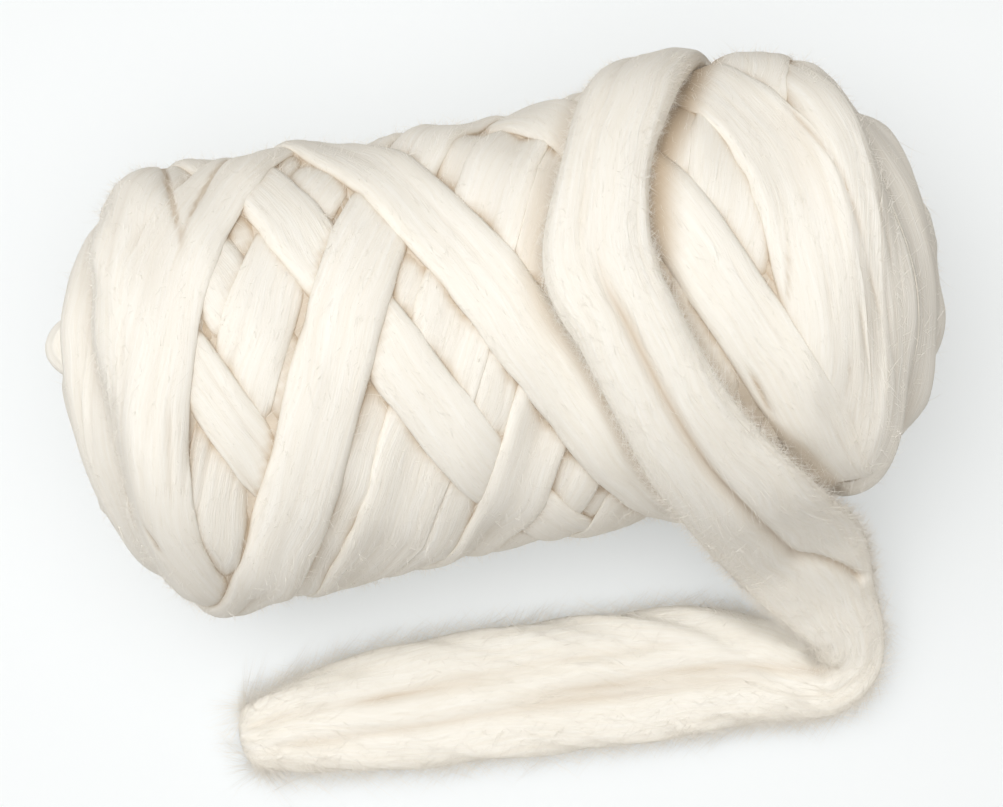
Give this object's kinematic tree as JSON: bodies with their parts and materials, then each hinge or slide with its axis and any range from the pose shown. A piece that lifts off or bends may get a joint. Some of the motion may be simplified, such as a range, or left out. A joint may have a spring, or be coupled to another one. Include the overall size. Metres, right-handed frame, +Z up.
{
  "type": "ball of wool roving",
  "caption": "Barrel-shaped ball of thick untwisted wool roving, cross-wound and lying on its side, with a loose end over its top that folds back on the table.",
  "frame": {"origin": "middle of the ball's footprint, on the surface it rests on", "axes": "+X along the ball's long axis, +Z up, the loose end lies on the -Y side"},
  "size_m": [0.398, 0.3073, 0.2051],
  "materials": {
    "wool_roving": "soft matt undyed wool, fibres lying along the roving"
  },
  "bodies": {
    "root": {"wound_ball": "wool_roving", "loose_end": "wool_roving"}
  },
  "joints": []
}
